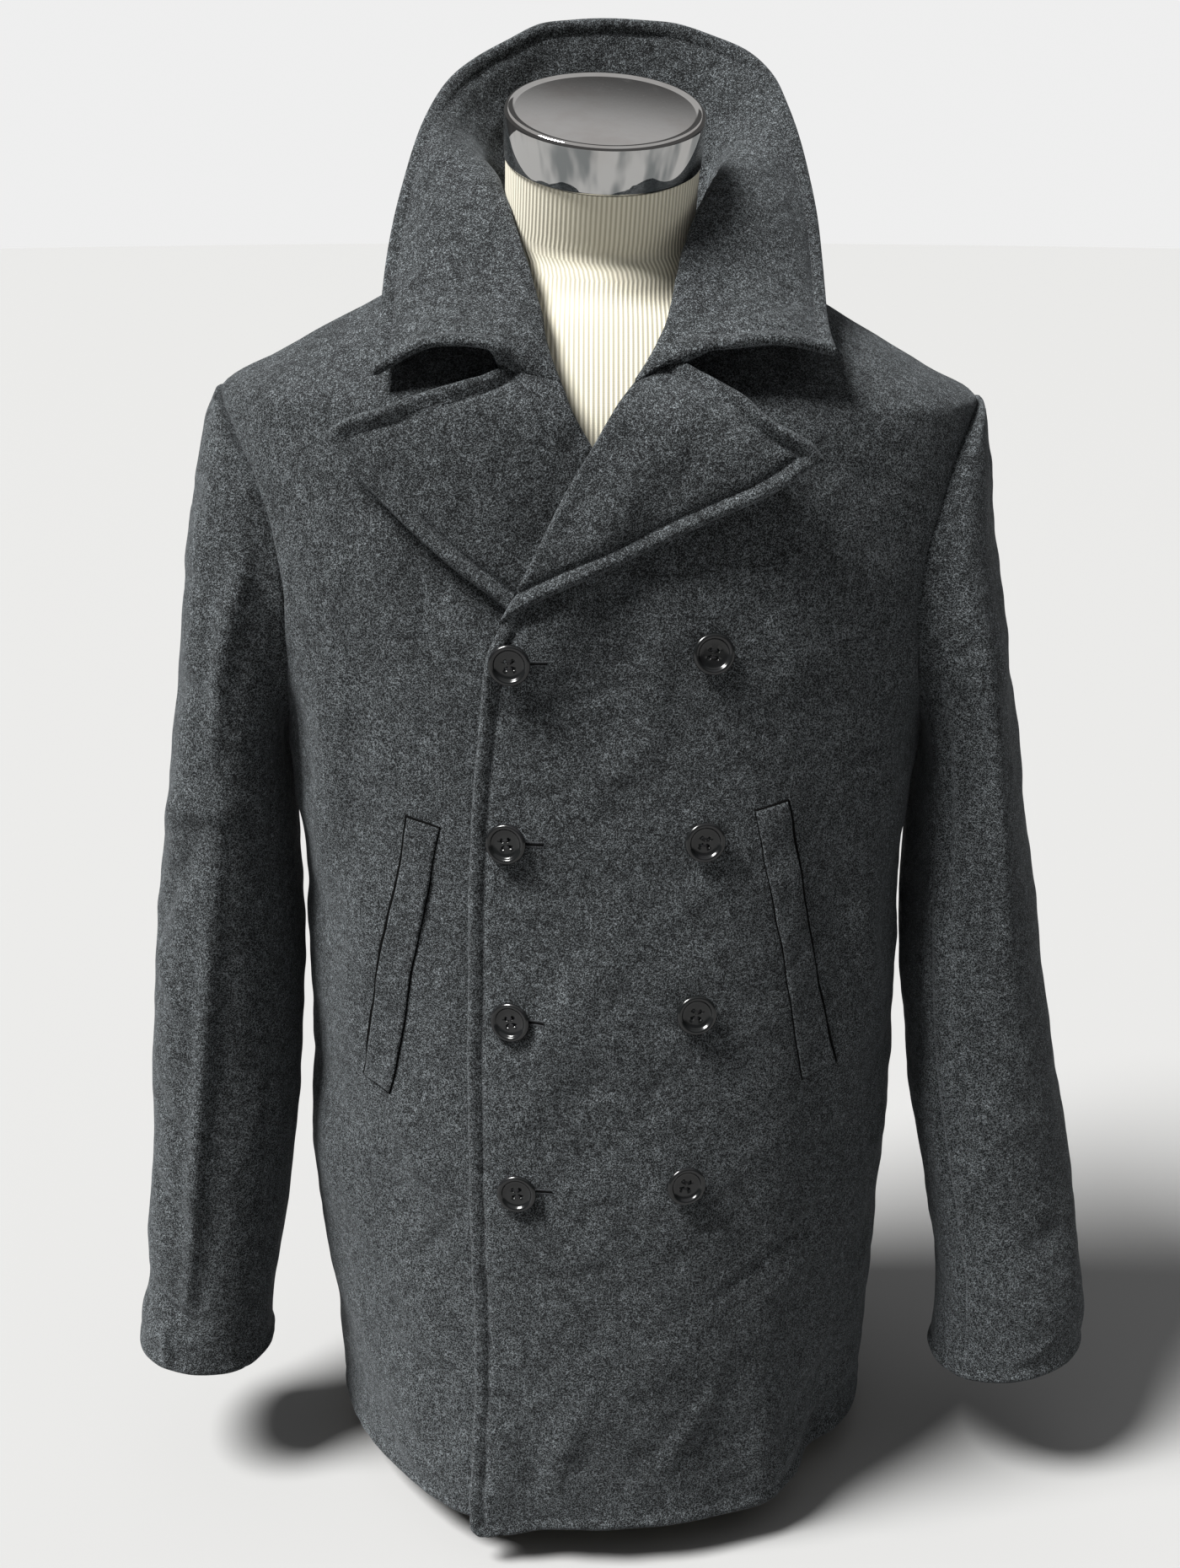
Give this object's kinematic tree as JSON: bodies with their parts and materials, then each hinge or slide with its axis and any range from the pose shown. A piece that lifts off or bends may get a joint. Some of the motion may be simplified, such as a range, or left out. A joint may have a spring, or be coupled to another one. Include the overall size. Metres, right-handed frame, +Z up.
{
  "type": "pea coat on a dress form",
  "caption": "Double-breasted wool pea coat with turned-up collar, open lapels and slanted welt pockets, worn on a limbless torso form with a capped neck.",
  "frame": {"origin": "centre of the dress form's flat underside", "axes": "+Z up along the form, -Y out of the coat's front, +X to the wearer's left"},
  "size_m": [0.6608, 0.3384, 0.9667],
  "materials": {
    "wool_melton_charcoal": "brushed wool melton, charcoal melange",
    "button_black_gloss": "polished black, raised rim and dished centre",
    "form_jersey_cream": "cream ribbed jersey, pulled smooth",
    "neck_cap_chrome": "polished metal"
  },
  "bodies": {
    "root": {"front_left": "wool_melton_charcoal", "front_right": "wool_melton_charcoal", "back_left": "wool_melton_charcoal", "back_right": "wool_melton_charcoal", "sleeve_left_upper": "wool_melton_charcoal", "sleeve_left_under": "wool_melton_charcoal", "sleeve_right_upper": "wool_melton_charcoal", "sleeve_right_under": "wool_melton_charcoal", "lapel_left": "wool_melton_charcoal", "lapel_right": "wool_melton_charcoal", "collar_upper": "wool_melton_charcoal", "collar_under": "wool_melton_charcoal", "pocket_welt_left": "wool_melton_charcoal", "pocket_welt_right": "wool_melton_charcoal", "button_right_1": "button_black_gloss", "button_right_2": "button_black_gloss", "button_right_3": "button_black_gloss", "button_right_4": "button_black_gloss", "button_left_1": "button_black_gloss", "button_left_2": "button_black_gloss", "button_left_3": "button_black_gloss", "button_left_4": "button_black_gloss", "form_torso": "form_jersey_cream", "form_neck_cap": "neck_cap_chrome"}
  },
  "joints": []
}
